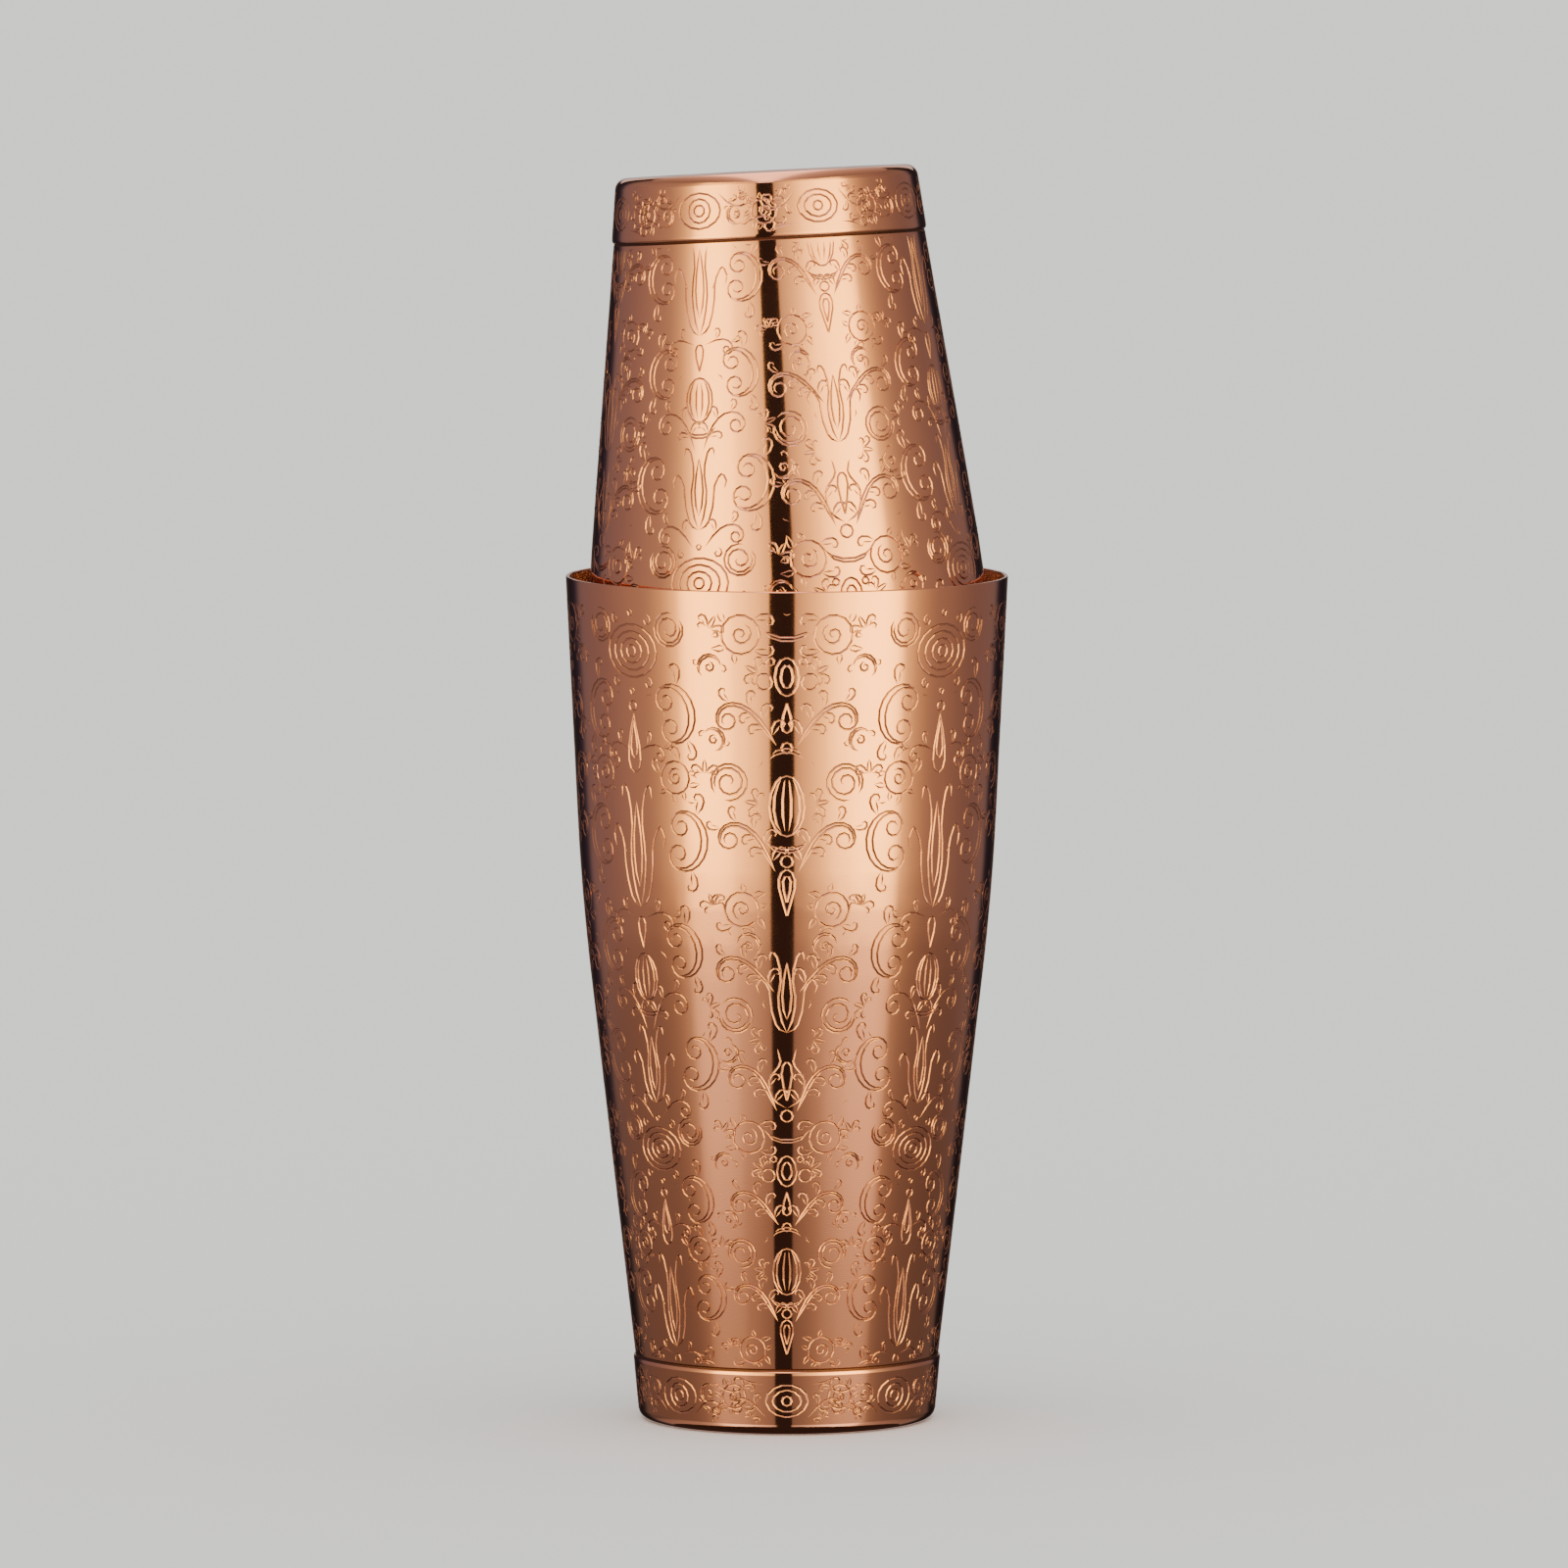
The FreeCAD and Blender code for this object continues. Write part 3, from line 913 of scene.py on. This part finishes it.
# ---------------------------------------------------------------- materials

def new_material(name):
    material = bpy.data.materials.new(name)
    material.use_nodes = True
    nodes = material.node_tree.nodes
    return material, nodes, material.node_tree.links, nodes["Principled BSDF"]


def noise(nodes, links, scale, detail, stretch=(1, 1, 1)):
    """A noise over the object's own coordinates. Its scale is in waves per metre."""
    place = nodes.new("ShaderNodeTexCoord")
    mapping = nodes.new("ShaderNodeMapping")
    mapping.inputs["Scale"].default_value = stretch
    texture = nodes.new("ShaderNodeTexNoise")
    texture.inputs["Scale"].default_value = scale
    texture.inputs["Detail"].default_value = detail
    links.new(place.outputs["Object"], mapping.inputs["Vector"])
    links.new(mapping.outputs["Vector"], texture.inputs["Vector"])
    return texture.outputs["Fac"]


def ranged(nodes, links, value, low, high):
    spread = nodes.new("ShaderNodeMapRange")
    spread.inputs["From Min"].default_value = 0.3
    spread.inputs["From Max"].default_value = 0.7
    spread.inputs["To Min"].default_value = low
    spread.inputs["To Max"].default_value = high
    links.new(value, spread.inputs["Value"])
    return spread.outputs["Result"]


def blended(nodes, links, value, first, second):
    mix = nodes.new("ShaderNodeMix")
    mix.data_type = "RGBA"
    mix.inputs["A"].default_value = (*first, 1)
    mix.inputs["B"].default_value = (*second, 1)
    links.new(ranged(nodes, links, value, 0, 1), mix.inputs["Factor"])
    return mix.outputs["Result"]


def add_bump(nodes, links, shader, value, distance, strength):
    bump = nodes.new("ShaderNodeBump")
    bump.inputs["Distance"].default_value = distance
    bump.inputs["Strength"].default_value = strength
    links.new(value, bump.inputs["Height"])
    links.new(bump.outputs["Normal"], shader.inputs["Normal"])


def copper(name, tones, roughness, grain):
    """Copper plating: slight tone drift, handling marks in the gloss, and fine polishing lines."""
    material, nodes, links, shader = new_material(name)
    shader.inputs["Metallic"].default_value = 1.0
    drift = noise(nodes, links, 28, 3)
    links.new(blended(nodes, links, drift, *tones), shader.inputs["Base Color"])
    marks = noise(nodes, links, 160, 5, (1, 1, 0.5))
    links.new(ranged(nodes, links, marks, *roughness), shader.inputs["Roughness"])
    lines = noise(nodes, links, 900, 4, (1, 1, 6))
    add_bump(nodes, links, shader, lines, 0.00002, grain)
    return material


def steel(name):
    """Plain turned steel."""
    material, nodes, links, shader = new_material(name)
    shader.inputs["Metallic"].default_value = 1.0
    marks = noise(nodes, links, 300, 4, (1, 1, 8))
    tone = blended(nodes, links, marks, (0.42, 0.42, 0.43), (0.58, 0.58, 0.59))
    links.new(tone, shader.inputs["Base Color"])
    links.new(ranged(nodes, links, marks, 0.28, 0.45), shader.inputs["Roughness"])
    add_bump(nodes, links, shader, marks, 0.00005, 0.4)
    return material


def cured_glue(name):
    material, nodes, links, shader = new_material(name)
    lumps = noise(nodes, links, 240, 3)
    tone = blended(nodes, links, lumps, (0.44, 0.38, 0.24), (0.60, 0.55, 0.38))
    links.new(tone, shader.inputs["Base Color"])
    links.new(ranged(nodes, links, lumps, 0.45, 0.7), shader.inputs["Roughness"])
    add_bump(nodes, links, shader, lumps, 0.0002, 0.5)
    return material


POLISHED, ENGRAVED, INSIDE, SEAM_SHADE = range(4)
COPPERS = [
    copper("copper_polished", ((0.84, 0.325, 0.18), (0.88, 0.352, 0.20)), (0.045, 0.08), 0.12),
    copper("copper_engraved", ((0.59, 0.225, 0.135), (0.69, 0.275, 0.165)), (0.2, 0.3), 0.4),
    copper("copper_inside", ((0.77, 0.50, 0.38), (0.80, 0.53, 0.40)), (0.24, 0.29), 0.3),
    # Near-black copper for the seam groove above the cap: painted shade in the crevice, not a real
    # tarnish.
    copper("copper_painted_seam_shade", ((0.10, 0.04, 0.025), (0.16, 0.06, 0.04)), (0.4, 0.5), 0.4),
]


def refinish(node, material):
    """Gives a CAD node that is kept its material."""
    for slot in frame["nodes"][node].material_slots:
        slot.material = material


# ---------------------------------------------------------------- make the tins

# The small tin is turned a little, so that the two patterns don't line up.
large = Tin("large", heading=0.0)
small = Tin("small", heading=math.radians(19))

make_body(large, lambda wall: body_pattern(wall, LARGE_START), COPPERS)
make_body(small, lambda wall: body_pattern(wall, SMALL_START, upside_down=True), COPPERS)
for tin in (large, small):
    make_cap(tin, cap_pattern, COPPERS)
    refinish(f"{tin.name}_tin_weight", steel("weight_steel"))
    refinish(f"{tin.name}_tin_glue_layer", cured_glue("cured_glue"))


# ---------------------------------------------------------------- studio

# Camera and panels, in metres, with the lens in millimetres.
CAMERA_DISTANCE = 3.2
CAMERA_HEIGHT = 0.42
AIM_HEIGHT = 0.1332
AIM_SIDE = -0.0006
LENS = 353.0
FLOOR_SIZE = 60
PANEL_RADIUS = 0.9
PANEL_LOW = -0.75
PANEL_HIGH = 0.9
PANEL_STEPS = 48
FRONT_LOW = 0.57
BACK_SPLIT = 0.4
KEY_COLOUR = (1, 0.91, 0.28)
FILL_COLOUR = (1, 0.94, 0.90)

# Light panels. Across: (bearing from the camera's side in degrees, strength). Up: (height, share).
# The gap between bearings -9 and 4, below the front panel, gives the black strip in the metal.
KEY_LEFT = [(-9, 0.8), (-26, 2.7), (-44, 4.6), (-60, 1.3), (-75, 0.15), (-90, 0), (-158, 0)]
KEY_RIGHT = [(4, 0.35), (17, 1.5), (32, 3.8), (50, 5.0), (66, 0.9), (80, 0.1), (95, 0), (158, 0)]
FILL_LEFT = [(-9, 0.5), (-75, 0.45), (-106, 0.4), (-132, 0.31), (-146, 0.08), (-158, 0.02)]
FILL_RIGHT = [(4, 0.5), (75, 0.42), (110, 0.3), (134, 0.27), (146, 0.06), (158, 0.02)]
KEY_UP = [
    (-0.75, 0.18), (-0.48, 0.14), (-0.36, 0.04), (-0.3, 0.035), (-0.22, 0.08), (-0.145, 0.28),
    (-0.07, 0.84), (0.02, 1.25), (0.45, 1.2), (0.55, 0.75), (0.9, 0.5),
]
PALE_UP = [
    (-0.75, 0.32), (-0.48, 0.26), (-0.36, 0.08), (-0.3, 0.065), (-0.22, 0.15), (-0.145, 0.15),
    (-0.07, 0.06), (0.02, 0), (0.9, 0),
]
FILL_UP = [
    (-0.75, 1.1), (-0.48, 0.9), (-0.36, 0.46), (-0.3, 0.43), (-0.2, 0.54), (-0.13, 0.64),
    (0, 1.0), (0.9, 1.0),
]
FRONT = [(-9, 2.0), (4, 2.0)]
BACK_LOW = [(168, 0.1), (174, 0.5), (186, 0.5), (192, 0.1)]
BACK_HIGH = [(158, 0.8), (202, 0.8)]
EVEN = [(PANEL_LOW, 1), (PANEL_HIGH, 1)]

# The panel overhead: (place from the left side to the right, strength).
OVERHEAD = [
    (-1, 0.35), (-0.5, 0.5), (-0.26, 0.95), (-0.08, 2.9),
    (0.04, 2.7), (0.22, 0.85), (0.5, 0.5), (1, 0.35),
]


def emission(name, build):
    """A light-giving material. build adds the nodes that set its colour or strength."""
    material = bpy.data.materials.new(name)
    material.use_nodes = True
    nodes, links = material.node_tree.nodes, material.node_tree.links
    nodes.clear()
    shader = nodes.new("ShaderNodeEmission")
    output = nodes.new("ShaderNodeOutputMaterial")
    shader.inputs["Color"].default_value = (*FILL_COLOUR, 1)
    links.new(shader.outputs["Emission"], output.inputs["Surface"])
    build(nodes, links, shader)
    return material


def curved(nodes, links, share, stops):
    """The curve through (place, strength) stops, read at a share of the way from first to last."""
    curve = nodes.new("ShaderNodeFloatCurve")
    scale = nodes.new("ShaderNodeMath")
    scale.operation = "MULTIPLY"
    peak = max(strength for _, strength in stops)
    scale.inputs[1].default_value = peak
    first, last = stops[0][0], stops[-1][0]
    points = curve.mapping.curves[0].points
    while len(points) < len(stops):
        points.new(0.5, 0.5)
    for point, (place, strength) in zip(points, stops):
        point.location = ((place - first) / (last - first), strength / peak)
    curve.mapping.update()
    links.new(share, curve.inputs["Value"])
    links.new(curve.outputs["Value"], scale.inputs[0])
    return scale.outputs["Value"]


def tinted(nodes, links, colour, across, up, base):
    """The colour times both strengths, added to what glows already."""
    strength = nodes.new("ShaderNodeMath")
    strength.operation = "MULTIPLY"
    glow = nodes.new("ShaderNodeVectorMath")
    glow.operation = "SCALE"
    glow.inputs["Vector"].default_value = colour
    links.new(across, strength.inputs[0])
    links.new(up, strength.inputs[1])
    links.new(strength.outputs["Value"], glow.inputs["Scale"])
    if base is None:
        return glow.outputs["Vector"]
    total = nodes.new("ShaderNodeVectorMath")
    links.new(base, total.inputs[0])
    links.new(glow.outputs["Vector"], total.inputs[1])
    return total.outputs["Vector"]


def add_panel(name, places, faces, flat, build):
    """A panel that only reflections see. flat has a place on it for every face corner."""
    mesh = bpy.data.meshes.new(name)
    mesh.from_pydata(places, [], faces)
    mesh.uv_layers.new(name="panel").data.foreach_set("uv", np.array(flat, float).ravel())
    mesh.materials.append(emission(name, build))
    panel = bpy.data.objects.new(name, mesh)
    bpy.context.scene.collection.objects.link(panel)
    panel.visible_camera = False
    panel.visible_diffuse = False
    panel.visible_shadow = False


def split_uv(nodes, links):
    """A node whose X and Y outputs are the place on a panel, each from 0 to 1."""
    split = nodes.new("ShaderNodeSeparateXYZ")
    links.new(nodes.new("ShaderNodeUVMap").outputs["UV"], split.inputs["Vector"])
    return split


def softbox(name, low, high, *layers):
    """A curved, upright light panel. Each layer is (colour, across, up), and the layers add up."""
    _, first_across, _ = layers[0]
    start, end = first_across[0][0], first_across[-1][0]
    places, faces, flat = [], [], []
    for bearing in np.radians(np.linspace(start, end, PANEL_STEPS + 1)):
        for height in (low, high):
            places.append((PANEL_RADIUS * math.sin(bearing), -PANEL_RADIUS * math.cos(bearing), height))
    for k in range(PANEL_STEPS):
        faces.append((2 * k, 2 * k + 2, 2 * k + 3, 2 * k + 1))
        here, there = k / PANEL_STEPS, (k + 1) / PANEL_STEPS
        flat += [(here, 0), (there, 0), (there, 1), (here, 1)]

    def build(nodes, links, shader):
        split = split_uv(nodes, links)
        total = None
        for colour, across, up in layers:
            sideways = curved(nodes, links, split.outputs["X"], across)
            upwards = curved(nodes, links, split.outputs["Y"], up)
            total = tinted(nodes, links, colour, sideways, upwards, total)
        links.new(total, shader.inputs["Color"])

    add_panel(name, places, faces, flat, build)


def overhead(across):
    """A flat panel that closes the ring of softboxes at the top."""
    corners = [(0, 0), (1, 0), (1, 1), (0, 1)]
    places = [((2 * x - 1) * PANEL_RADIUS, (2 * y - 1) * PANEL_RADIUS, PANEL_HIGH) for x, y in corners]

    def build(nodes, links, shader):
        sideways = split_uv(nodes, links).outputs["X"]
        links.new(curved(nodes, links, sideways, across), shader.inputs["Strength"])

    add_panel("softbox_top", places, [(0, 1, 2, 3)], corners, build)


def add_floor():
    bpy.ops.mesh.primitive_plane_add(size=FLOOR_SIZE, location=(0, 0, 0))
    floor = bpy.context.object
    floor.name = "studio_floor"
    material, nodes, links, shader = new_material("studio_floor")
    shader.inputs["Base Color"].default_value = (0.76, 0.76, 0.75, 1)
    shader.inputs["Roughness"].default_value = 0.6
    shader.inputs["Specular IOR Level"].default_value = 0
    floor.data.materials.append(material)
    floor.visible_glossy = False


def add_world():
    """A pale, even surround. In reflections it is dark, so that the panels shape the metal."""
    world = bpy.data.worlds.new("studio")
    bpy.context.scene.world = world
    world.use_nodes = True
    nodes, links = world.node_tree.nodes, world.node_tree.links
    background = nodes["Background"]
    path = nodes.new("ShaderNodeLightPath")
    mix = nodes.new("ShaderNodeMix")
    mix.data_type = "RGBA"
    mix.inputs["A"].default_value = (1.45, 1.45, 1.43, 1)
    mix.inputs["B"].default_value = (0.035, 0.03, 0.03, 1)
    links.new(path.outputs["Is Glossy Ray"], mix.inputs["Factor"])
    links.new(mix.outputs["Result"], background.inputs["Color"])


def add_camera():
    data = bpy.data.cameras.new("camera")
    data.lens = LENS
    data.sensor_width = 36.0
    data.clip_end = 100
    camera = bpy.data.objects.new("camera", data)
    bpy.context.scene.collection.objects.link(camera)
    camera.location = (AIM_SIDE, -CAMERA_DISTANCE, CAMERA_HEIGHT)
    aim = Vector((AIM_SIDE, 0, AIM_HEIGHT)) - camera.location
    camera.rotation_mode = "QUATERNION"
    camera.rotation_quaternion = aim.to_track_quat("-Z", "Y")
    bpy.context.scene.camera = camera


add_floor()
add_world()
add_camera()
for side, key, fill in (("left", KEY_LEFT, FILL_LEFT), ("right", KEY_RIGHT, FILL_RIGHT)):
    softbox(
        f"softbox_{side}", PANEL_LOW, PANEL_HIGH,
        (KEY_COLOUR, key, KEY_UP), (FILL_COLOUR, key, PALE_UP), (FILL_COLOUR, fill, FILL_UP),
    )
softbox("softbox_front", FRONT_LOW, PANEL_HIGH, (FILL_COLOUR, FRONT, EVEN))
softbox("softbox_back", PANEL_LOW, BACK_SPLIT, (FILL_COLOUR, BACK_LOW, EVEN))
softbox("softbox_back_high", BACK_SPLIT, PANEL_HIGH, (FILL_COLOUR, BACK_HIGH, EVEN))
overhead(OVERHEAD)
